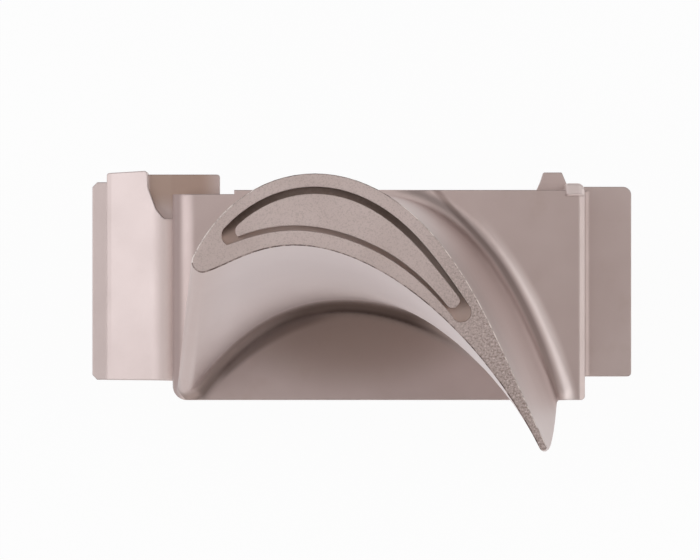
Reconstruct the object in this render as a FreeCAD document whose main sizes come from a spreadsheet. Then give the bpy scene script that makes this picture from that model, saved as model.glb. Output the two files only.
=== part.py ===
import FreeCAD, Part
import math
import os
import Sketcher

V = FreeCAD.Vector

# Turbine rotor blade, cast in one piece: airfoil with a groove round its tip, platform
# with a rounded nose, forward and aft seal wings, shank and a fir-tree root.
# Millimetres. X runs along the engine axis towards the trailing edge, Y towards the
# suction side, Z radially outwards. The origin is the middle of the root's flat bottom.

doc = FreeCAD.newDocument("turbine_blade")
sheet = doc.addObject("Spreadsheet::Sheet", "Dims")
sheet.Label = "Dims"

SIZES = [
    # heights above the root's bottom
    ("root_height", 20.0),
    ("deck_bottom", 34.8),
    ("deck_top", 39.0),
    ("span", 56.0),
    # fir-tree root
    ("root_front", 22.4),
    ("root_aft", 23.4),
    ("neck_half", 5.0),
    ("lobe_reach", 2.9),
    ("lobe_step", 1.1),
    ("lobe_pitch", 6.2),
    ("lobe_radius", 0.9),
    # shank
    ("shank_half", 9.2),
    ("flare_rise", 4.6),
    ("wall_thickness", 3.2),
    ("web_half", 3.4),
    ("shank_radius", 2.0),
    # platform outline, from the origin
    ("platform_front", 24.0),
    ("platform_aft", 25.6),
    ("suction_edge", 10.6),
    ("pressure_edge", 14.6),
    ("nose_radius", 2.9),
    ("aft_bevel", 0.6),
    ("edge_step", 0.5),
    ("edge_step_length", 7.5),
    ("front_corner", 1.8),
    ("aft_corner", 0.5),
    ("trim_lean", 0.9),
    ("trim_upright", 1.2),
    ("trim_run", 16.0),
    # forward wing
    ("wing_hollow", 4.5),
    ("wing_slope", 20.0),
    ("wing_reach", 32.3),
    ("wing_suction", 13.1),
    ("wing_fall", 0.25),
    ("wing_corner", 0.35),
    ("wing_pressure", 12.4),
    ("wing_depth", 2.4),
    ("lip_reach", 34.1),
    ("lip_suction", 11.75),
    ("lip_drop", 0.45),
    ("lip_slope", 8.0),
    ("lip_corner", 0.6),
    ("shelf_drop", 8.0),
    ("shelf_depth", 2.4),
    ("shelf_end", 18.5),
    ("shelf_inner", 7.2),
    ("shelf_suction", 12.65),
    ("notch_front", 27.3),
    # aft wing, nub and lug
    ("aft_reach", 31.5),
    ("aft_suction", 11.1),
    ("aft_pressure", 11.9),
    ("aft_drop", 5.5),
    ("aft_depth", 2.2),
    ("aft_fillet", 0.9),
    ("nub_reach", 0.8),
    ("nub_length", 2.2),
    ("nub_rise", 0.3),
    ("lug_reach", 12.9),
    ("lug_middle", 22.1),
    ("lug_top", 2.2),
    ("lug_base", 3.8),
    # airfoil
    ("root_fillet", 2.4),
    ("bow_leading", 0.4),
    ("bow_trailing", -2.0),
    ("edge_break", 0.12),
    # tip groove
    ("groove_depth", 2.0),
    ("groove_nose", 0.5),
    ("groove_tail", 1.25),
    ("land_nose", 0.3),
    ("land_tail", 0.72),
    ("rim_suction", 1.42),
    ("rim_pressure", 1.62),
    ("rim_nose", 1.25),
    ("rim_tail", 1.08),
    ("slot_suction", 0.76),
    ("slot_pressure", 0.52),
    ("slot_end", 0.3),
    # Airfoil sections at the platform (base) and at the tip: the circles of the leading
    # and the trailing edge, the directions of both sides there in degrees, the lengths of
    # their tangents, and the middle pole of each side.
    ("base_le_x", -22.3),
    ("base_le_y", -13.1),
    ("base_le_r", 1.0),
    ("base_te_x", 21.8),
    ("base_te_y", -14.1),
    ("base_te_r", 0.5),
    ("base_suction_in", 81.0),
    ("base_suction_out", -68.5),
    ("base_pressure_in", 55.0),
    ("base_pressure_out", -51.0),
    ("base_suction_in_len", 21.1),
    ("base_suction_out_len", 20.2),
    ("base_pressure_in_len", 14.8),
    ("base_pressure_out_len", 6.8),
    ("base_suction_mid_x", 6.9),
    ("base_suction_mid_y", 22.9),
    ("base_pressure_mid_x", -1.2),
    ("base_pressure_mid_y", 4.2),
    ("tip_le_x", -18.3),
    ("tip_le_y", 1.8),
    ("tip_le_r", 1.2),
    ("tip_te_x", 18.0),
    ("tip_te_y", -18.0),
    ("tip_te_r", 0.4),
    ("tip_suction_in", 64.0),
    ("tip_suction_out", -63.0),
    ("tip_pressure_in", 17.5),
    ("tip_pressure_out", -63.5),
    ("tip_suction_in_len", 16.8),
    ("tip_suction_out_len", 16.5),
    ("tip_pressure_in_len", 5.6),
    ("tip_pressure_out_len", 19.7),
    ("tip_suction_mid_x", 7.9),
    ("tip_suction_mid_y", 14.5),
    ("tip_pressure_mid_x", -7.6),
    ("tip_pressure_mid_y", 9.0),
]

for row, (name, value) in enumerate(SIZES, start=1):
    sheet.set("A%d" % row, name)
    sheet.set("B%d" % row, "%g" % value)
    sheet.setAlias("B%d" % row, name)
doc.recompute()


def dim(name):
    return float(sheet.get(name))


body = doc.addObject("PartDesign::Body", "Blade")
body.Label = "turbine_blade"
planes = {}
for feature in body.Origin.OriginFeatures:
    planes[feature.Role] = feature
doc.recompute()


def sketch(name, role, offset_expression=None, offset=0.0):
    made = body.newObject("Sketcher::SketchObject", name)
    made.AttachmentSupport = (planes[role], [""])
    made.MapMode = "FlatFace"
    made.AttachmentOffset = FreeCAD.Placement(V(0, 0, offset), FreeCAD.Rotation())
    if offset_expression:
        made.setExpression("AttachmentOffset.Base.z", offset_expression)
    return made


def rounded(points):
    """Edges of a closed polygon whose corners (x, y, radius) are rounded."""
    edges = []
    count = len(points)
    cuts = []
    for i in range(count):
        x, y, radius = points[i]
        here = V(x, y, 0)
        before = V(points[i - 1][0], points[i - 1][1], 0) - here
        after = V(points[(i + 1) % count][0], points[(i + 1) % count][1], 0) - here
        before.normalize()
        after.normalize()
        if radius <= 0:
            cuts.append((here, None, here))
            continue
        half = before.getAngle(after) / 2
        reach = radius / math.tan(half)
        centre_way = before + after
        centre_way.normalize()
        centre = here + centre_way * (radius / math.sin(half))
        middle = centre - centre_way * radius
        cuts.append((here + before * reach, middle, here + after * reach))
    for i in range(count):
        start, middle, end = cuts[i]
        if middle is not None:
            edges.append(Part.Arc(start, middle, end))
        following = cuts[(i + 1) % count][0]
        if (following - end).Length > 1e-6:
            edges.append(Part.LineSegment(end, following))
    return edges


def draw(target, points):
    for edge in rounded(points):
        target.addGeometry(edge, False)


def check_feature(feature):
    doc.recompute()
    if feature.Shape.isNull() or not feature.Shape.isValid():
        raise RuntimeError(feature.Name + " has no valid shape")
    if "Invalid" in feature.State or "Error" in feature.State:
        raise RuntimeError(feature.Name + " is not valid")
    return feature


def pad(name, profile, length_expression):
    made = body.newObject("PartDesign::Pad", name)
    made.Profile = profile
    made.Length = 1.0
    made.setExpression("Length", length_expression)
    profile.Visibility = False
    return check_feature(made)


def pocket(name, profile, length_expression):
    before = body.Tip.Shape.Volume
    made = body.newObject("PartDesign::Pocket", name)
    made.Profile = profile
    made.Length = 1.0
    made.setExpression("Length", length_expression)
    profile.Visibility = False
    check_feature(made)
    if made.Shape.Volume > before - 1e-3:
        made.Reversed = True
        check_feature(made)
    if made.Shape.Volume > before - 1e-3:
        raise RuntimeError(name + " cuts nothing")
    return made


# Fir-tree root: three pairs of lobes that get narrower towards the bottom.
neck = dim("neck_half")
step = dim("lobe_step")
reach = dim("lobe_reach")
pitch = dim("lobe_pitch")
radius = dim("lobe_radius")
top = dim("root_height")
neck_run = 0.9
flank = 0.8 * reach
crest = 1.0
crest_taper = 0.3
crest_radius = 0.7 * radius
valley_rise = 0.4
foot_half = neck - 2 * step + 0.55 * reach
half = [(neck, top + 1.0, 0)]
for lobe in range(3):
    level = top - lobe * pitch
    narrow = neck - lobe * step
    shoulder = level - neck_run - flank
    half.append((narrow, level - neck_run, radius))
    half.append((narrow + reach, shoulder, crest_radius))
    half.append((narrow + reach - crest_taper, shoulder - crest, crest_radius))
    if lobe < 2:
        half.append((narrow - step, level - pitch + valley_rise, radius))
half.append((foot_half, 0.0, 0.4))
mirrored = [(-x, y, r) for x, y, r in reversed(half)]
root_profile = sketch("RootProfile", "YZ_Plane", "-Dims.root_front", -dim("root_front"))
draw(root_profile, half + mirrored)
pad("Root", root_profile, "Dims.root_front + Dims.root_aft")

# Shank: a block that widens above the root neck, hollowed from both sides so that a
# front wall, an aft wall and a thin web between them are left.
wide = dim("shank_half")
flare_start = top + 0.8
flare_end = top + dim("flare_rise")
shank_top = dim("deck_bottom") + 0.5
shank_profile = sketch("ShankProfile", "YZ_Plane", "-Dims.root_front", -dim("root_front"))
draw(shank_profile, [
    (neck, top, 0),
    (neck, flare_start, 1.0),
    (wide, flare_end, 1.5),
    (wide, shank_top, 0),
    (-wide, shank_top, 0),
    (-wide, flare_end, 1.5),
    (-neck, flare_start, 1.0),
    (-neck, top, 0),
])
pad("Shank", shank_profile, "Dims.root_front + Dims.root_aft")

front_in = -dim("root_front") + dim("wall_thickness")
aft_in = dim("root_aft") - dim("wall_thickness")
hollow_floor = top + 2.2
corner = dim("shank_radius")
for flank_name, sign in (("Suction", 1.0), ("Pressure", -1.0)):
    name = flank_name + "Hollow"
    # the plane's normal points to -Y, so the offset is the negative of the Y place
    place = sketch(name + "Profile", "XZ_Plane", "%g * (Dims.shank_half + 1)" % -sign,
                   -sign * (wide + 1.0))
    draw(place, [
        (front_in, hollow_floor, corner),
        (aft_in, hollow_floor, corner),
        (aft_in, dim("deck_bottom"), corner),
        (front_in, dim("deck_bottom"), corner),
    ])
    pocket(name, place, "Dims.shank_half + 1 - Dims.web_half")

# Platform deck, drawn wider than it ends so that the airfoil's root fillet can run out.
deck_low = dim("deck_bottom")
deck = dim("deck_top")
front = -dim("platform_front")
aft = dim("platform_aft")
nose = dim("nose_radius")
bevel = dim("aft_bevel")
bevel_drop = 0.6 * bevel
extra = 8.0
deck_profile = sketch("DeckProfile", "XZ_Plane", "-(Dims.suction_edge + %g)" % extra,
                      -(dim("suction_edge") + extra))
swing = math.sqrt(0.5) * nose
deck_profile.addGeometry([
    Part.LineSegment(V(front, deck_low, 0), V(front, deck - nose, 0)),
    Part.Arc(V(front, deck - nose, 0), V(front + nose - swing, deck - nose + swing, 0),
             V(front + nose, deck, 0)),
    Part.LineSegment(V(front + nose, deck, 0), V(aft - bevel, deck, 0)),
    Part.LineSegment(V(aft - bevel, deck, 0), V(aft, deck - bevel_drop, 0)),
    Part.LineSegment(V(aft, deck - bevel_drop, 0), V(aft, deck_low, 0)),
    Part.LineSegment(V(aft, deck_low, 0), V(front, deck_low, 0)),
], False)
pad("Deck", deck_profile, "Dims.suction_edge + Dims.pressure_edge + %g" % (2 * extra))


# Airfoil.
SECTION = [name[5:] for name, value in SIZES if name.startswith("base_")]


def section_at(share):
    """Section numbers at a share of the span: 0 at the platform, 1 at the tip. They
    change evenly on the way, apart from the bow, which is largest at half span."""
    values = {}
    for name in SECTION:
        low = dim("base_" + name)
        values[name] = low + (dim("tip_" + name) - low) * share
    bow = 4 * share * (1 - share)
    values["le_y"] += bow * dim("bow_leading")
    values["te_y"] += bow * dim("bow_trailing")
    both = (dim("bow_leading") + dim("bow_trailing")) / 2
    values["suction_mid_y"] += bow * both
    values["pressure_mid_y"] += bow * both
    return values


def way(degrees):
    angle = math.radians(degrees)
    return V(math.cos(angle), math.sin(angle), 0)


def across(degrees):
    return way(degrees + 90.0)


def bezier(poles):
    curve = Part.BSplineCurve()
    curve.buildFromPolesMultsKnots(poles, [5, 5], [0.0, 1.0], False, 4)
    return curve


def side(start, start_angle, start_length, middle, end, end_angle, end_length, inset):
    """One side of a section. The inset moves its middle pole in with its ends."""
    second = start + way(start_angle) * start_length
    fourth = end - way(end_angle) * end_length
    along = fourth - second
    along.normalize()
    return bezier([start, second, middle + V(along.y, -along.x, 0) * inset, fourth, end])


def section_sides(values, inset=0.0):
    """Leading edge arc, suction side, trailing edge arc and pressure side."""
    leading = V(values["le_x"], values["le_y"], 0)
    trailing = V(values["te_x"], values["te_y"], 0)
    r_in = values["le_r"] - inset
    r_out = values["te_r"] - inset
    s_in = leading + across(values["suction_in"]) * r_in
    s_out = trailing + across(values["suction_out"]) * r_out
    p_in = leading - across(values["pressure_in"]) * r_in
    p_out = trailing - across(values["pressure_out"]) * r_out
    suction = side(s_in, values["suction_in"], values["suction_in_len"],
                   V(values["suction_mid_x"], values["suction_mid_y"], 0),
                   s_out, values["suction_out"], values["suction_out_len"], inset)
    pressure = side(p_in, values["pressure_in"], values["pressure_in_len"],
                    V(values["pressure_mid_x"], values["pressure_mid_y"], 0),
                    p_out, values["pressure_out"], values["pressure_out_len"], -inset)
    middle_in = (values["suction_in"] + values["pressure_in"]) / 2
    middle_out = (values["suction_out"] + values["pressure_out"]) / 2
    nose_arc = Part.Arc(p_in, leading - way(middle_in) * r_in, s_in)
    tail_arc = Part.Arc(s_out, trailing + way(middle_out) * r_out, p_out)
    return nose_arc, suction, tail_arc, pressure


# Stacked sections, ruled from one to the next. The last two stand close together: the
# tip section is inset, which breaks the tip's outer edge.
sink = 2.6
first_share = 0.14
storeys = 7
stack = [(-sink / dim("span"), 0.0)]
for storey in range(storeys):
    stack.append((first_share + (1 - first_share) * storey / storeys, 0.0))
stack.append((1 - dim("edge_break") / dim("span"), 0.0))
stack.append((1.0, dim("edge_break")))
sections = []
for number, (share, inset) in enumerate(stack, start=1):
    place = sketch("Section%d" % number, "XY_Plane")
    place.setExpression("AttachmentOffset.Base.z", "Dims.deck_top + %.6f * Dims.span" % share)
    for edge in section_sides(section_at(share), inset):
        place.addGeometry(edge, False)
    place.Visibility = False
    sections.append(place)
doc.recompute()
airfoil = body.newObject("PartDesign::AdditiveLoft", "Airfoil")
airfoil.Profile = sections[0]
airfoil.Sections = sections[1:]
airfoil.Ruled = True
check_feature(airfoil)


# Root fillet, on every edge where the airfoil meets the deck.
def on_deck(point):
    if point.x >= front + nose:
        return abs(point.z - deck) < 0.01
    depth = (front + nose - point.x) / nose
    if depth > 1:
        return False
    return abs(point.z - (deck - nose + nose * math.sqrt(1 - depth * depth))) < 0.02


def meets_airfoil(edge):
    """True for an edge on the deck that is neither the deck's own border nor the line
    where its rounded nose begins."""
    first, last = edge.ParameterRange
    points = [edge.valueAt(first + (last - first) * k / 6) for k in range(7)]
    if not all(on_deck(point) for point in points):
        return False
    if max(abs(point.y) for point in points) > dim("suction_edge") + extra - 0.5:
        return False
    xs = [point.x for point in points]
    return max(xs) - min(xs) > 0.02 or abs(xs[0] - (front + nose)) > 0.02


names = []
for index, edge in enumerate(airfoil.Shape.Edges, start=1):
    if meets_airfoil(edge):
        names.append("Edge%d" % index)
fillet = body.newObject("PartDesign::Fillet", "RootFillet")
fillet.Base = (airfoil, names)
fillet.Radius = dim("root_fillet")
fillet.setExpression("Radius", "Dims.root_fillet")
check_feature(fillet)

# The long sides of the platform cut the deck and the fillet off; a little above the deck
# the cut starts to lean outwards so that it fades into the airfoil.
lean = dim("trim_lean")
rise = dim("root_fillet") + 0.4
beyond = 14.0
under = deck_low - 1.0
upright = dim("trim_upright")
trim_profile = sketch("TrimProfile", "YZ_Plane", "-Dims.platform_front - Dims.trim_run",
                      front - dim("trim_run"))
for edge_at, outwards in ((dim("suction_edge"), 1.0), (dim("pressure_edge"), -1.0)):
    inner = outwards * edge_at
    outer = inner + outwards * beyond
    draw(trim_profile, [
        (inner, under, 0),
        (inner, deck + upright, 0),
        (inner + outwards * lean, deck + rise, 0),
        (outer, deck + rise, 0),
        (outer, under, 0),
    ])
pocket("Trim", trim_profile, "Dims.platform_front + Dims.platform_aft + 2 * Dims.trim_run")


# Corners of the platform, seen from the tip.
def corner_cut(name, x, y, radius, way_x, way_y):
    place = sketch(name + "Profile", "XY_Plane", "Dims.deck_top + Dims.root_fillet + 1",
                   deck + dim("root_fillet") + 1.0)
    centre = V(x - way_x * radius, y - way_y * radius, 0)
    middle = centre + V(way_x, way_y, 0) * (radius * math.sqrt(0.5))
    out_x = x + way_x
    out_y = y + way_y
    first = V(x, centre.y, 0)
    last = V(centre.x, y, 0)
    place.addGeometry([
        Part.Arc(first, middle, last),
        Part.LineSegment(last, V(centre.x, out_y, 0)),
        Part.LineSegment(V(centre.x, out_y, 0), V(out_x, out_y, 0)),
        Part.LineSegment(V(out_x, out_y, 0), V(out_x, centre.y, 0)),
        Part.LineSegment(V(out_x, centre.y, 0), first),
    ], False)
    pocket(name, place, "Dims.deck_top + Dims.root_fillet + 1 - Dims.deck_bottom")


corner_cut("FrontCorner", front, -dim("pressure_edge"), dim("front_corner"), -1, -1)
corner_cut("AftCorner", aft, -dim("pressure_edge"), dim("aft_corner"), 1, -1)

# Forward wing: a hollow curve from the nose into a ramp that falls away to the front.
hollow = dim("wing_hollow")
slope = math.radians(dim("wing_slope"))
wing_end = -dim("wing_reach")
turn = deck - nose
ramp_x = front - hollow + hollow * math.sin(slope)
ramp_z = turn - hollow * math.cos(slope)
ramp_low = ramp_z - (ramp_x - wing_end) * math.tan(slope)
lip_top = ramp_low - dim("lip_drop")
lip_end = -dim("lip_reach")
lip_fall = math.tan(math.radians(dim("lip_slope")))
lip_edge = lip_top - (wing_end - lip_end) * lip_fall
lip_low = lip_top - dim("wing_depth")
half_way = (math.pi / 2 - slope) / 2
hollow_mid = V(front - hollow + hollow * math.cos(half_way), turn - hollow * math.sin(half_way), 0)
inboard = front + 2.0
brace = front - 4.0
brace_low = lip_low - 3.0
wing_profile = sketch("WingProfile", "XZ_Plane", "-Dims.wing_suction", -dim("wing_suction"))
wing_profile.addGeometry([
    Part.LineSegment(V(inboard, turn, 0), V(front, turn, 0)),
    Part.Arc(V(front, turn, 0), hollow_mid, V(ramp_x, ramp_z, 0)),
    Part.LineSegment(V(ramp_x, ramp_z, 0), V(wing_end, ramp_low, 0)),
    Part.LineSegment(V(wing_end, ramp_low, 0), V(wing_end, lip_low, 0)),
    Part.LineSegment(V(wing_end, lip_low, 0), V(brace, lip_low, 0)),
    Part.LineSegment(V(brace, lip_low, 0), V(inboard, brace_low, 0)),
    Part.LineSegment(V(inboard, brace_low, 0), V(inboard, turn, 0)),
], False)
pad("ForwardWing", wing_profile, "Dims.wing_suction + Dims.wing_pressure")

# The wing's suction end falls a little to the front and has rounded corners; behind the
# ramp it steps back to the shelf's line.
notch = -dim("notch_front")
wing_top = dim("wing_suction")
wing_low = wing_top - dim("wing_fall")
wing_round = dim("wing_corner")
clear = wing_top + 1.0
end_profile = sketch("WingEndProfile", "XY_Plane", "Dims.deck_top", deck)
draw(end_profile, [
    (wing_end - 2.0, clear, 0),
    (wing_end - 2.0, wing_low - 1.0, 0),
    (wing_end, wing_low - 1.0, 0),
    (wing_end, wing_low, wing_round),
    (notch, wing_top, wing_round),
    (notch, dim("shelf_suction"), 0),
    (inboard + 1.0, dim("shelf_suction"), 0),
    (inboard + 1.0, clear, 0),
])
pocket("WingEnd", end_profile, "Dims.deck_top - Dims.root_height")

# Lower lip: it slopes to the front more gently than the ramp.
lip_start = wing_end + 1.5
lip_rise = lip_top + (lip_start - wing_end) * lip_fall
lip_profile = sketch("LipProfile", "XZ_Plane", "-Dims.lip_suction", -dim("lip_suction"))
draw(lip_profile, [
    (lip_start, lip_rise, 0),
    (lip_end, lip_edge, 0),
    (lip_end, lip_low, 0),
    (lip_start, lip_low, 0),
])
pad("Lip", lip_profile, "Dims.lip_suction + Dims.wing_pressure")
cut = dim("lip_corner")
lip_side = 0.4
lip_corners = sketch("LipCornersProfile", "XY_Plane", "Dims.deck_top", deck)
for edge_at, outwards in ((dim("lip_suction"), 1.0), (-dim("wing_pressure"), -1.0)):
    draw(lip_corners, [
        (lip_end - lip_side, edge_at + outwards * lip_side, 0),
        (lip_end - lip_side, edge_at - outwards * (cut + lip_side), 0),
        (lip_end + cut + lip_side, edge_at + outwards * lip_side, 0),
    ])
pocket("LipCorners", lip_corners, "Dims.deck_top - Dims.root_height")

# Notch at the suction end of the forward wing, cut down to the shelf; it also steps
# the platform's suction edge back near the front.
shelf = deck - dim("shelf_drop")
stepped = dim("suction_edge") - dim("edge_step")
step_end = front + dim("edge_step_length")
inner = dim("shelf_inner")
notch_profile = sketch("NotchProfile", "XY_Plane", "Dims.deck_top + Dims.root_fillet",
                       deck + dim("root_fillet"))
draw(notch_profile, [
    (notch, clear, 0),
    (notch + 0.1, inner + 3.9, 1.5),
    (notch + 1.1, inner + 1.2, 1.0),
    (notch + 2.1, inner, 0.9),
    (front, inner, 0),
    (front, stepped, 0),
    (step_end, stepped, 0),
    (step_end, clear, 0),
])
pocket("Notch", notch_profile, "Dims.root_fillet + Dims.shelf_drop")

shelf_low = shelf - dim("shelf_depth")
shelf_start = notch + 1.0
shelf_root = 4.0
shelf_profile = sketch("ShelfProfile", "XY_Plane",
                       "Dims.deck_top - Dims.shelf_drop - Dims.shelf_depth", shelf_low)
draw(shelf_profile, [
    (shelf_start, dim("shelf_suction"), 0),
    (-dim("shelf_end"), dim("shelf_suction"), 0.3),
    (-dim("shelf_end"), shelf_root, 0),
    (shelf_start, shelf_root, 0),
])
pad("Shelf", shelf_profile, "Dims.shelf_depth")

# Aft wall and aft wing.
aft_top = deck - dim("aft_drop")
aft_low = aft_top - dim("aft_depth")
aft_inside = dim("root_aft") - 2.0
wall_height = "Dims.aft_drop + Dims.aft_depth - Dims.deck_top + Dims.deck_bottom"
aft_wall_profile = sketch("AftWallProfile", "XY_Plane", None, aft_low)
draw(aft_wall_profile, [
    (aft_inside, dim("suction_edge"), 0),
    (aft, dim("suction_edge"), 0),
    (aft, -dim("aft_pressure"), 0),
    (aft_inside, -dim("aft_pressure"), 0),
])
pad("AftWall", aft_wall_profile, wall_height)

wing_begin = aft - 1.5
wing_side = dim("suction_edge") - 0.5
aft_wing_profile = sketch("AftWingProfile", "XY_Plane", None, aft_low)
draw(aft_wing_profile, [
    (aft_inside, wing_side, 0),
    (wing_begin, wing_side, 0),
    (wing_begin, dim("aft_suction"), 0),
    (dim("aft_reach"), dim("aft_suction"), 1.0),
    (dim("aft_reach"), -dim("aft_pressure"), 0.5),
    (aft_inside, -dim("aft_pressure"), 0),
])
aft_wing = pad("AftWing", aft_wing_profile, "Dims.aft_depth")

inside = []
for index, edge in enumerate(aft_wing.Shape.Edges, start=1):
    first, last = edge.ParameterRange
    ends = [edge.valueAt(first), edge.valueAt(last)]
    if all(abs(p.x - aft) < 0.01 and abs(p.z - aft_top) < 0.01 for p in ends):
        inside.append("Edge%d" % index)
wing_fillet = body.newObject("PartDesign::Fillet", "AftWingFillet")
wing_fillet.Base = (aft_wing, inside)
wing_fillet.Radius = dim("aft_fillet")
wing_fillet.setExpression("Radius", "Dims.aft_fillet")
check_feature(wing_fillet)

# Nub at the suction end of the aft edge, a little higher than the deck, and the lug
# below it.
nub_y = dim("suction_edge") + dim("nub_reach")
nub_aft = aft - 0.1
nub_front = nub_aft - dim("nub_length")
nub_root = dim("suction_edge") - 0.7
nub_profile = sketch("NubProfile", "XY_Plane", None, aft_top - 0.5)
draw(nub_profile, [
    (nub_aft, nub_root, 0),
    (nub_aft, nub_y, 0.8),
    (nub_front, nub_y, 0.3),
    (nub_front, nub_root, 0),
])
nub = pad("Nub", nub_profile, "Dims.aft_drop + 0.5 + Dims.nub_rise")
nub_top = deck + dim("nub_rise")
crown = []
for index, edge in enumerate(nub.Shape.Edges, start=1):
    first, last = edge.ParameterRange
    points = [edge.valueAt(first), edge.valueAt((first + last) / 2), edge.valueAt(last)]
    near = all(abs(p.z - nub_top) < 0.01 and p.x > nub_front - 0.1 for p in points)
    if near and all(nub_root - 0.1 < p.y < nub_y + 0.1 and p.x < aft for p in points):
        crown.append("Edge%d" % index)
nub_bevel = body.newObject("PartDesign::Chamfer", "NubBevel")
nub_bevel.Base = (nub, crown)
nub_bevel.Size = 0.2
check_feature(nub_bevel)

middle = dim("lug_middle")
narrow = dim("lug_top") / 2
broad = dim("lug_base") / 2
lug_end = dim("lug_reach")
lug_foot = dim("suction_edge") + 0.2
lug_root = 7.0
lug_profile = sketch("LugProfile", "XY_Plane", None, shelf_low)
draw(lug_profile, [
    (middle - broad, lug_root, 0),
    (middle - broad, lug_foot, 0.5),
    (middle - narrow - 0.35, lug_end - 1.1, 0.6),
    (middle - narrow, lug_end, 0.15),
    (middle + narrow, lug_end, 0.15),
    (middle + narrow + 0.6, lug_end - 1.4, 0.6),
    (middle + broad, lug_foot + 0.3, 0.5),
    (middle + broad, lug_root, 0),
])
pad("Lug", lug_profile, "Dims.shelf_depth")

# Tip groove with the flush land inside it.
tip_level = deck + dim("span")
tip_suction, tip_pressure = section_sides(section_at(1.0))[1::2]


def inset(curve, u, distance):
    """Point on the inner side of a section side, a distance away from it."""
    tangent = curve.tangent(u)[0]
    inward = V(tangent.y, -tangent.x, 0)
    if curve is tip_pressure:
        inward = inward * -1
    return curve.value(u) + inward * distance


nose_until = 0.3
nose_run = 0.2
tail_until = 0.74


def tapered(u, main, at_nose, at_tail, tail_from):
    """Distance along a side: constant in the middle, changing towards both ends."""
    if u < nose_until:
        return main - (main - at_nose) * ((nose_until - u) / nose_run) ** 2
    if u > tail_from:
        return main - (main - at_tail) * ((u - tail_from) / (tail_until - tail_from)) ** 2
    return main


def suction_rim(u):
    return tapered(u, dim("rim_suction"), dim("rim_nose"), dim("rim_tail"), 0.62)


def pressure_rim(u):
    main = dim("rim_pressure")
    return tapered(u, main, main + 0.25, dim("rim_tail") - 0.06, 0.58)


def suction_land(u):
    main = dim("slot_suction")
    return suction_rim(u) + tapered(u, main, main, dim("slot_end"), 0.5)


def pressure_land(u):
    main = dim("slot_pressure")
    return pressure_rim(u) + tapered(u, main, dim("slot_end"), dim("slot_end"), 0.58)


def end_arc(first, last, bulge, outwards):
    """Arc from one side to the other that bulges out over the end of the ring."""
    chord = last - first
    over = V(chord.y, -chord.x, 0)
    over.normalize()
    if over.dot(outwards) < 0:
        over = over * -1
    return Part.Arc(first, (first + last) * 0.5 + over * bulge, last)


ring_points = 16


def ring(near, far, nose_end, tail_end):
    """Closed outline between two inset sides; each end is given as the shares of the
    suction and the pressure side where it starts, and how far it bulges out."""
    u0, w0, nose_bulge = nose_end
    u1, w1, tail_bulge = tail_end
    upper = []
    lower = []
    for k in range(ring_points + 1):
        u = u0 + (u1 - u0) * k / ring_points
        w = w0 + (w1 - w0) * k / ring_points
        upper.append(inset(tip_suction, u, near(u)))
        lower.append(inset(tip_pressure, w, far(w)))
    along = upper[-1] - upper[0]
    suction_line = Part.BSplineCurve()
    suction_line.interpolate(upper)
    pressure_line = Part.BSplineCurve()
    pressure_line.interpolate(lower)
    return [
        end_arc(lower[0], upper[0], nose_bulge, along * -1),
        suction_line,
        end_arc(upper[-1], lower[-1], tail_bulge, along),
        pressure_line,
    ]


groove_ends = ((0.075, 0.135, dim("groove_nose")), (0.738, 0.765, dim("groove_tail")))
land_ends = ((0.098, 0.185, dim("land_nose")), (0.714, 0.748, dim("land_tail")))

groove_profile = sketch("GrooveProfile", "XY_Plane", "Dims.deck_top + Dims.span", tip_level)
for edge in ring(suction_rim, pressure_rim, *groove_ends):
    groove_profile.addGeometry(edge, False)
for edge in ring(suction_land, pressure_land, *land_ends):
    groove_profile.addGeometry(edge, False)
pocket("TipGroove", groove_profile, "Dims.groove_depth")

doc.recompute()
solid = body.Shape
if solid.isNull() or not solid.isValid() or len(solid.Solids) != 1:
    raise RuntimeError("the blade is not one valid solid")
for item in doc.Objects:
    if "Invalid" in item.State or "Error" in item.State:
        raise RuntimeError(item.Name + " is not valid")

os.makedirs("parts", exist_ok=True)
solid.exportStep("parts/turbine_blade.step")
centre = solid.Solids[0].CenterOfMass
print("volume", round(solid.Volume), "centre of mass", [round(c, 2) for c in centre])
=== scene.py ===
import math

import bmesh
import bpy
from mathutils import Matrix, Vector


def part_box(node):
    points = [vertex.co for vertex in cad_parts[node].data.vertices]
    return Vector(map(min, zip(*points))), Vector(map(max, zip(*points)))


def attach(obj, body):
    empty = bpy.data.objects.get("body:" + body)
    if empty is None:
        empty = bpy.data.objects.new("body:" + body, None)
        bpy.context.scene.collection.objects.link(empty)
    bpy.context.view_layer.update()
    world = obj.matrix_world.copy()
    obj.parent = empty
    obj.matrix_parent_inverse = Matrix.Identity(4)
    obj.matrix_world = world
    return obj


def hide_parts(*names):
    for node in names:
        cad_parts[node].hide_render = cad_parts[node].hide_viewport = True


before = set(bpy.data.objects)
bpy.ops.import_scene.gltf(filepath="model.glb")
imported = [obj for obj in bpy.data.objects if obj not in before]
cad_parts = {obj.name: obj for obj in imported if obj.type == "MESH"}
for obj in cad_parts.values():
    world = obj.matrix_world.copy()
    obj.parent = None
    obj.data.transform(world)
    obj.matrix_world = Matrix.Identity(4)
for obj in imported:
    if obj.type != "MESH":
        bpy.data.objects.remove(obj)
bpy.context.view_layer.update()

# A turbine blade seen from its tip: one casting with a satin skin, a ground tip face and
# a dark groove round the tip's land. Metres, in the blade's own frame.
scene = bpy.context.scene
tip_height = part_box("turbine_blade")[1].z

# Places on the blade. X runs from the leading to the trailing edge, Y towards the round
# side and Z towards the tip.
deck_top = 0.039
shelf_top = 0.031
ramp_front = -0.0323
notch_front = -0.0273
platform_front = -0.0240
nub_front = 0.0234
platform_aft = 0.0256
groove_depth = 0.0020
edge_break = 0.00012

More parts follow.
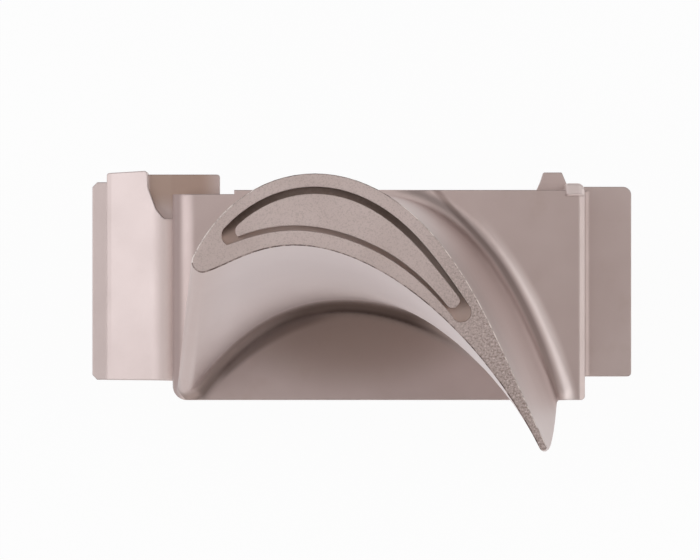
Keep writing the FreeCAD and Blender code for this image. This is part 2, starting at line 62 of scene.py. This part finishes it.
# Colours, as linear red, green and blue.
casting_tone = (0.58, 0.455, 0.425)
casting_light_tone = (0.64, 0.515, 0.485)
patch_tone = (0.50, 0.365, 0.305)
airfoil_tone = (0.51, 0.38, 0.355)
round_side_painted_shade_tone = (0.31, 0.21, 0.19)
wall_low_painted_light_tone = (0.90, 0.77, 0.75)
wall_high_painted_light_tone = (0.66, 0.54, 0.53)
fillet_front_painted_shade_tone = (0.36, 0.27, 0.245)
fillet_crown_painted_shade_tone = (0.08, 0.050, 0.041)
deck_painted_shadow_tone = (0.37, 0.265, 0.225)
fillet_foot_painted_shade_tone = (0.16, 0.105, 0.09)
painted_light_valley_tone = (0.75, 0.61, 0.58)
painted_shade_line_tone = (0.30, 0.21, 0.19)
bright_tone = (0.95, 0.83, 0.80)
wing_tone = (0.67, 0.55, 0.52)
ramp_painted_light_tone = (0.73, 0.605, 0.575)
aft_bevel_painted_highlight_tone = (0.76, 0.64, 0.61)
nose_painted_shade_tone = (0.40, 0.295, 0.28)
shelf_tint_and_painted_shade_tone = (0.40, 0.25, 0.175)
tip_tone = (0.62, 0.50, 0.465)
tip_light_tone = (0.68, 0.555, 0.52)
tip_tail_tone = (0.52, 0.41, 0.38)
speckle_tone = (0.31, 0.235, 0.205)
glint_tone = (0.86, 0.74, 0.71)
crust_tone = (0.24, 0.165, 0.14)
crust_light_tone = (0.44, 0.33, 0.28)
slot_tone = (0.74, 0.59, 0.53)
groove_floor_tone = (0.80, 0.66, 0.60)
painted_highlight_edge_tone = (0.92, 0.81, 0.76)
painted_shade_edge_tone = (0.10, 0.06, 0.05)
worn_edge_tone = (0.45, 0.35, 0.32)
white = (1.0, 1.0, 1.0)
floor_tone = (0.9, 0.9, 0.9)
daylight = (0.93, 0.96, 1.0)


class Signal:
    """A socket in a finish. Sums and products of signals add the nodes they need."""

    def __init__(self, finish, socket):
        self.finish = finish
        self.socket = socket

    def maths(self, operation, first, second):
        return self.finish.node("ShaderNodeMath", {"operation": operation}, {0: first, 1: second})

    def __add__(self, other):
        return self.maths("ADD", self, other)

    def __radd__(self, other):
        return self.maths("ADD", other, self)

    def __sub__(self, other):
        return self.maths("SUBTRACT", self, other)

    def __rsub__(self, other):
        return self.maths("SUBTRACT", other, self)

    def __mul__(self, other):
        return self.maths("MULTIPLY", self, other)

    def __rmul__(self, other):
        return self.maths("MULTIPLY", other, self)

    def __truediv__(self, other):
        return self.maths("DIVIDE", self, other)

    def __rtruediv__(self, other):
        return self.maths("DIVIDE", other, self)

    def rise(self, low, high):
        """0 below low, 1 above high and a smooth step on the way."""
        return self.finish.node(
            "ShaderNodeMapRange", {"interpolation_type": "SMOOTHSTEP", "clamp": True},
            {"Value": self, "From Min": low, "From Max": high})

    def fall(self, low, high):
        """1 below low, 0 above high and a smooth step on the way."""
        return 1.0 - self.rise(low, high)

    def band(self, low, full, fading, gone):
        """1 from full to fading, 0 below low and above gone, with smooth steps."""
        return self.rise(low, full) * self.fall(fading, gone)


class Finish:
    """A material that is built node by node."""

    def __init__(self, name):
        self.material = bpy.data.materials.new(name)
        self.material.use_nodes = True
        self.tree = self.material.node_tree
        self.tree.nodes.clear()

    def node(self, kind, settings=None, sockets=None, output=0):
        made = self.tree.nodes.new(kind)
        for name, value in (settings or {}).items():
            setattr(made, name, value)
        for key, value in (sockets or {}).items():
            socket = made.inputs[key]
            if isinstance(value, Signal):
                self.tree.links.new(value.socket, socket)
            elif socket.type == "RGBA":
                socket.default_value = (*value, 1.0)
            else:
                socket.default_value = value
        return Signal(self, made.outputs[output]) if len(made.outputs) else None

    def place(self):
        return self.node("ShaderNodeTexCoord", output="Object")

    def along(self, place, axis):
        """One coordinate of a place: X, Y or Z."""
        return self.node("ShaderNodeSeparateXYZ", None, {0: place}, output=axis)

    def grain(self, place, scale, detail, roughness):
        """Noise of so many lumps per metre, from 0 to 1."""
        return self.node("ShaderNodeTexNoise", None,
                         {"Vector": place, "Scale": scale, "Detail": detail,
                          "Roughness": roughness})

    def worn(self, height, strength, depth, radius):
        """Normal of a rough surface whose edges are rounded by the radius."""
        edge = self.node("ShaderNodeBevel", {"samples": 6}, {"Radius": radius})
        return self.node("ShaderNodeBump", None,
                         {"Strength": strength, "Distance": depth, "Height": height,
                          "Normal": edge})

    def blend(self, share, first, second):
        """Colour between two others."""
        return self.node("ShaderNodeMix", {"data_type": "RGBA"},
                         {0: share, 6: first, 7: second}, output=2)

    def close(self, shader):
        self.node("ShaderNodeOutputMaterial", None, {"Surface": shader})
        return self.material

    def metal(self, sockets):
        """The finished material: one metallic shader with these sockets."""
        return self.close(self.node("ShaderNodeBsdfPrincipled", None, sockets))


# Finishes of the casting's skin.
def deck_painted_shadow(finish, colour, across, aside, airfoil, cloud):
    """An oval painted shadow of the airfoil on the deck in front of the hollow side."""
    from_middle = (across + 0.002) / 0.017
    from_crown = (aside + 0.0055) / 0.0085
    oval = (from_middle * from_middle + from_crown * from_crown).fall(0.0, 1.1)
    return finish.blend(oval * (1.0 - airfoil) * (0.72 + 0.3 * cloud), colour, deck_painted_shadow_tone)


def hollow_airfoil(finish, colour, across, height, airfoil):
    """The airfoil's hollow side: its colour, with painted light on its wall and painted shade in
    its fillet, and the shares of its wall and its fillet.
    """
    from_nose = across + 0.07 * (tip_height - height)
    # Painted light: the wall is painted pale, palest low down by the fillet.
    pale = finish.blend(height.rise(0.050, 0.086), wall_low_painted_light_tone, wall_high_painted_light_tone)
    wall = airfoil * from_nose.rise(-0.0193, -0.0135)
    colour = finish.blend(wall, colour, pale)
    # Painted shade: the root fillet here is painted dark brown, darkest at the crown.
    fillet = (height.band(deck_top, deck_top + 0.0002, deck_top + 0.0005, deck_top + 0.0020)
              * across.fall(0.004, 0.012))
    brown = finish.blend(across.rise(-0.019, -0.007), fillet_front_painted_shade_tone, fillet_crown_painted_shade_tone)
    return finish.blend(fillet, colour, brown), wall, fillet


def fillet_foot_painted_shade(finish, colour, across, aside, height):
    """Painted shade that runs out onto the deck along the front half of the hollow side's fillet.
    """
    from_crown = across + 0.0015
    out = aside + 0.0040 + 27.9 * from_crown * from_crown
    on_deck = height.band(deck_top - 0.0002, deck_top - 0.0001,
                          deck_top + 0.0003, deck_top + 0.0008)
    share = (out.band(-0.0011, -0.0002, 0.0004, 0.0012) * on_deck
             * across.band(-0.019, -0.017, -0.008, -0.003))
    return finish.blend(share * 0.6, colour, fillet_foot_painted_shade_tone)


def round_fillet(finish, colour, across, aside, height):
    """Painted light and shade along the round side's root fillet, by the distance across from
    its foot: a pale valley of painted light, a dark line of painted shade and the bright
    foot itself, a painted highlight."""
    away = across + 0.596 * aside + 13.6 * aside * aside - 0.0179
    near_deck = height.band(deck_top - 0.0002, deck_top - 0.0001,
                            deck_top + 0.004, deck_top + 0.010)
    # A pale valley of painted light.
    valley = away.band(-0.0040, -0.0026, -0.0026, -0.0015) * aside.fall(0.001, 0.005)
    colour = finish.blend(valley * near_deck * 0.6, colour, painted_light_valley_tone)
    # A dark line of painted shade.
    before = away + 0.0001 + 0.0009 * aside.rise(0.001, 0.009)
    line = before.band(-0.0021, -0.0015, -0.0012, -0.0006)
    colour = finish.blend(line * near_deck * 0.7, colour, painted_shade_line_tone)
    # The bright foot, a painted highlight.
    foot = away.band(-0.0009, -0.0001, 0.0001, 0.0013) * aside.fall(-0.003, 0.0095)
    return finish.blend(foot * near_deck * 0.9, colour, bright_tone)


def platform_ends(finish, colour, across, aside, height, cloud):
    """Paler forward wing and nub, painted light on the ramp, a painted highlight on the aft
    bevel, painted shade on the nose, and the shelf tinted brown and darkened with painted shade.
    """
    wing = across.fall(platform_front - 0.0007, platform_front - 0.0001)
    colour = finish.blend(wing * 0.8, colour, wing_tone)
    # Painted light: the ramp is painted paler.
    ramp = across.band(ramp_front + 0.0004, ramp_front + 0.0007,
                       platform_front - 0.0030, platform_front - 0.0020)
    colour = finish.blend(ramp * (0.1 + 0.9 * aside.rise(-0.012, -0.002)), colour, ramp_painted_light_tone)
    # Painted highlight along the aft bevel.
    aft_bevel = (across.band(platform_aft - 0.0009, platform_aft - 0.0006,
                             platform_aft + 0.0012, platform_aft + 0.0015)
                 * height.rise(deck_top - 0.0016, deck_top - 0.0010))
    colour = finish.blend(aft_bevel * 0.7, colour, aft_bevel_painted_highlight_tone)
    nub = (across.rise(nub_front - 0.0004, nub_front - 0.0001) * aside.rise(0.0092, 0.0095)
           * height.rise(deck_top + 0.00002, deck_top + 0.00006))
    colour = finish.blend(nub * 0.6, colour, bright_tone)
    # Painted shade: the nose is darker low at its front, where it turns down to the wing's
    # hollow.
    nose = (across.band(platform_front - 0.0005, platform_front,
                        platform_front + 0.0007, platform_front + 0.0015)
            * height.rise(deck_top - 0.0045, deck_top - 0.0028))
    colour = finish.blend(nose, colour, nose_painted_shade_tone)
    # The shelf in the notch is painted darker brown: partly a brown tint, partly painted shade in
    # the recess.
    shelf = (height.fall(shelf_top + 0.0001, shelf_top + 0.0004)
             * across.band(notch_front, notch_front + 0.0005, -0.021, -0.018)
             * aside.rise(0.0075, 0.0105))
    return finish.blend(shelf * (0.45 + 0.5 * cloud), colour, shelf_tint_and_painted_shade_tone)


def cast_skin(name, hollow_side):
    """Blasted and coated casting: satin, pinkish grey-brown, faintly blotchy. The wall of
    the airfoil's hollow side is painted paler than that of its round side: painted light."""
    finish = Finish(name)
    place = finish.place()
    across, aside, height = [finish.along(place, axis) for axis in "XYZ"]
    cloud = finish.grain(place, 55.0, 3.0, 0.55)
    patch = finish.grain(place, 190.0, 4.0, 0.6)
    grit = finish.grain(place, 5200.0, 2.0, 0.5)
    airfoil = height.rise(deck_top + 0.0007, deck_top + 0.0020)
    colour = finish.blend(cloud.rise(0.35, 0.65), casting_tone, casting_light_tone)
    colour = finish.blend(patch.rise(0.55, 0.8) * 0.25, colour, patch_tone)
    colour = finish.blend(airfoil, colour, airfoil_tone)
    colour = deck_painted_shadow(finish, colour, across, aside, airfoil, cloud)
    wall = fillet = 0.0
    if hollow_side:
        colour, wall, fillet = hollow_airfoil(finish, colour, across, height, airfoil)
    else:
        # Painted shade: the round side is darker towards the tip.
        shade = height.rise(0.050, 0.082) * across.fall(0.012, 0.019)
        colour = finish.blend(shade, colour, round_side_painted_shade_tone)
    colour = fillet_foot_painted_shade(finish, colour, across, aside, height)
    colour = round_fillet(finish, colour, across, aside, height)
    colour = platform_ends(finish, colour, across, aside, height, cloud)
    return finish.metal({
        "Base Color": colour, "Metallic": 0.85 - 0.4 * wall, "Coat Weight": 0.5 - 0.4 * fillet,
        "Coat Roughness": 0.35, "Roughness": 0.40 + 0.10 * patch + 0.06 * grit,
        "Normal": finish.worn(grit, 0.12, 0.00003, 0.00025)})


# Finishes of the tip.
def ground_tip():
    """Tip face: finer and flatter, with a speckle that gets coarser towards the tail."""
    finish = Finish("ground_tip")
    place = finish.place()
    tail = finish.along(place, "X").rise(0.003, 0.014)
    fine = finish.grain(place, 6500.0, 2.0, 0.6)
    coarse = finish.grain(place, 4600.0, 2.0, 0.6)
    cloud = finish.grain(place, 120.0, 3.0, 0.5)
    colour = finish.blend(cloud.rise(0.3, 0.7), tip_tone, tip_light_tone)
    colour = finish.blend(tail * 0.8, colour, tip_tail_tone)
    speckle = fine.rise(0.45, 0.75) * 0.35 + coarse.rise(0.50, 0.60) * tail * 0.65
    colour = finish.blend(speckle, colour, speckle_tone)
    glint = coarse.fall(0.34, 0.42) * tail
    colour = finish.blend(glint * 0.6, colour, glint_tone)
    return finish.metal({
        "Base Color": colour, "Metallic": 0.8, "Roughness": 0.46 + 0.1 * fine,
        "Normal": finish.worn(fine + coarse * tail, 0.25, 0.00004, 0.00018)})


def groove_scale():
    """Walls and floor of the groove, left dark and rough by the cutting."""
    finish = Finish("groove_scale")
    place = finish.place()
    across, aside, height = [finish.along(place, axis) for axis in "XYZ"]
    crust = finish.grain(place, 2600.0, 4.0, 0.65)
    colour = finish.blend(crust, crust_tone, crust_light_tone)
    # The narrow slot on the hollow side of the land is cleaner. Its bend is stronger
    # behind its crown than in front of it.
    from_crown = across + 0.005
    bend = 21.3 + 29.1 * from_crown.rise(-0.002, 0.002)
    below = aside + bend * from_crown * from_crown - 0.0074
    colour = finish.blend(below.fall(-0.0005, 0.0005), colour, slot_tone)
    # The floor is clearer towards the tail.
    floor = height.fall(tip_height - groove_depth + 0.0001, tip_height - groove_depth + 0.0004)
    colour = finish.blend(floor * from_crown.rise(0.006, 0.014), colour, groove_floor_tone)
    return finish.metal({
        "Base Color": colour, "Metallic": 0.55, "Roughness": 0.6,
        "Normal": finish.worn(crust, 0.3, 0.00005, 0.0001)})


def broken_edge(name, colour, metallic, roughness):
    """The tip's outer edge, a little ragged."""
    finish = Finish(name)
    ragged = finish.grain(finish.place(), 1500.0, 3.0, 0.6)
    return finish.metal({
        "Base Color": finish.blend(ragged.rise(0.4, 0.65), colour, worn_edge_tone),
        "Metallic": metallic, "Roughness": roughness})


# The casting: the solid's own surface, merged, with its own normals.
merge_distance = 0.000001
coplanar = math.radians(0.05)
crease = math.cos(math.radians(25))
flat_area = 0.000012


def merged_surface(node, name):
    work = bmesh.new()
    work.from_mesh(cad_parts[node].data)
    bmesh.ops.remove_doubles(work, verts=work.verts, dist=merge_distance)
    bmesh.ops.dissolve_limit(work, angle_limit=coplanar, verts=work.verts,
                             edges=work.edges, use_dissolve_boundaries=False)
    work.normal_update()
    for face in work.faces:
        face.smooth = True
    mesh = bpy.data.meshes.new(name)
    work.to_mesh(mesh)
    return work, mesh


def corner_normals(work):
    """One normal for each corner of each face. Faces that turn by less than the crease
    share one; a flat face keeps its own right to its border."""
    flat = [len(face.verts) > 4 or face.calc_area() > flat_area for face in work.faces]
    normals = []
    for face in work.faces:
        for corner in face.loops:
            total = Vector()
            firm = None
            for other in corner.vert.link_loops:
                near = other.face
                if near.normal.dot(face.normal) < crease:
                    continue
                if flat[near.index]:
                    if firm is None or near.calc_area() > firm.calc_area():
                        firm = near
                total += near.normal * other.calc_angle()
            if flat[face.index]:
                firm = face
            normals.append(firm.normal.copy() if firm else total.normalized())
    return normals


def casting_from(node, name):
    work, mesh = merged_surface(node, name)
    work.faces.ensure_lookup_table()
    work.faces.index_update()
    normals = corner_normals(work)
    work.free()
    mesh.normals_split_custom_set(normals)
    made = bpy.data.objects.new(name, mesh)
    scene.collection.objects.link(made)
    return made


blade = casting_from("turbine_blade", "blade_casting")
for material in (cast_skin("cast_skin", False), ground_tip(), groove_scale(),
                 # The tip's edge gets a painted highlight and a painted shade, chosen by the way
                 # each face faces.
                 broken_edge("painted_highlight_edge", painted_highlight_edge_tone, 0.3, 0.35),
                 broken_edge("painted_shade_edge_finish", painted_shade_edge_tone, 0.5, 0.5),
                 cast_skin("hollow_skin", True)):
    blade.data.materials.append(material)
skin, ground, groove, painted_highlight_edge, painted_shade_edge, hollow = range(6)
face_tolerance = 0.00004
upright, level = 0.01, 0.99


def finish_of(face, low):
    """Which finish a face has, by the height of its lowest corner and the way it faces."""
    normal = face.normal
    # The rim and the land are ground.
    if low > tip_height - face_tolerance:
        return ground
    # The tip's broken edge is painted bright, a painted highlight, where it faces the side lamps
    # at the front and the tail of the round side, and painted dark elsewhere, painted shade.
    if low > tip_height - edge_break - face_tolerance and normal.z > 0.1:
        aslant = normal.xy.normalized() if normal.xy.length > 0.01 else Vector((0.0, 0.0))
        return painted_highlight_edge if aslant.y > -0.2 and not -0.45 < aslant.x < 0.6 else painted_shade_edge
    # What is cut into the tip, upright or level, is the groove.
    if (low > tip_height - groove_depth - face_tolerance
            and (abs(normal.z) < upright or normal.z > level)):
        return groove
    # The airfoil's wall and fillet on the hollow side face away from the round side.
    if (low > deck_top - face_tolerance and normal.y < 0.0
            and (normal.x < 0.3 or face.center.x < 0.0)):
        return hollow
    return skin


for face in blade.data.polygons:
    low = min(blade.data.vertices[corner].co.z for corner in face.vertices)
    face.material_index = finish_of(face, low)

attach(blade, "root")
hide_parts("turbine_blade")


# Floor and light.
def white_floor():
    """White floor. Eye and mirror rays see most of it at full white, and the rest is
    the lit floor, which keeps the blade's shadow."""
    finish = Finish("white_floor")
    seen = finish.node("ShaderNodeLightPath", output="Is Camera Ray")
    glossy = finish.node("ShaderNodeLightPath", output="Is Glossy Ray")
    through = finish.node("ShaderNodeLightPath", output="Is Transmission Ray")
    share = (seen + glossy + through) * 0.95
    lit = finish.node("ShaderNodeBsdfDiffuse", None, {"Color": floor_tone})
    glow = finish.node("ShaderNodeEmission", None, {"Color": white, "Strength": 1.0})
    return finish.close(finish.node("ShaderNodeMixShader", None, {0: share, 1: lit, 2: glow}))


def white_cove():
    """Round floor whose edge curves up into a low backdrop."""
    middle, reach, bend, sides, steps = 0.5, 2.7, 0.33, 96, 8
    clearance = 0.0002
    profile = [(0.0, 0.0), (middle, 0.0), (reach, 0.0)]
    for step in range(1, steps + 1):
        angle = math.pi / 2 * step / steps
        profile.append((reach + bend * math.sin(angle), bend - bend * math.cos(angle)))
    points, faces = [], []
    for out, up in profile:
        for side in range(sides):
            turn = 2 * math.pi * side / sides
            points.append((out * math.cos(turn), out * math.sin(turn), up - clearance))
    for ring in range(len(profile) - 1):
        for side in range(sides):
            after = (side + 1) % sides
            faces.append((ring * sides + side, (ring + 1) * sides + side,
                          (ring + 1) * sides + after, ring * sides + after))
    mesh = bpy.data.meshes.new("white_cove")
    mesh.from_pydata(points, [], faces)
    work = bmesh.new()
    work.from_mesh(mesh)
    bmesh.ops.remove_doubles(work, verts=work.verts, dist=0.00001)
    for face in work.faces:
        face.smooth = True
    work.to_mesh(mesh)
    work.free()
    made = bpy.data.objects.new("white_cove", mesh)
    scene.collection.objects.link(made)
    made.data.materials.append(white_floor())
    return made


white_cove()


def softbox(name, place, size, power, colour):
    """Rectangular lamp aimed at the blade's platform."""
    lamp = bpy.data.lights.new(name, "AREA")
    lamp.shape = "RECTANGLE"
    lamp.size, lamp.size_y = size
    lamp.energy = power
    lamp.color = colour
    made = bpy.data.objects.new(name, lamp)
    scene.collection.objects.link(made)
    made.location = place
    aim = Vector((0.0, 0.0, 0.04)) - Vector(place)
    made.rotation_euler = aim.to_track_quat("-Z", "Y").to_euler()
    made.visible_camera = False


softbox("left_softbox", (-0.69, 0.0, 0.62), (0.5, 0.9), 2.8, daylight)
softbox("right_softbox", (0.68, 0.0, 0.63), (0.26, 0.9), 1.6, white)
softbox("top_softbox", (0.0, 0.30, 1.0), (0.9, 0.5), 1.55, white)
softbox("front_softbox", (0.0, -0.75, 0.30), (0.9, 0.4), 1.5, white)

world = bpy.data.worlds.new("studio")
scene.world = world
world.use_nodes = True
background = world.node_tree.nodes["Background"]
background.inputs["Color"].default_value = (*white, 1.0)
background.inputs["Strength"].default_value = 0.2

scene.view_settings.view_transform = "Standard"

# Camera: straight above the tip, with the leading edge on the left.
lens = bpy.data.cameras.new("camera")
lens.sensor_width = 36.0
lens.lens = 216.9
lens.clip_start = 0.01
camera = bpy.data.objects.new("camera", lens)
scene.collection.objects.link(camera)
camera.location = (-0.0026, -0.0002, 0.545)
camera.rotation_euler = (0.0, 0.0, 0.0)
scene.camera = camera
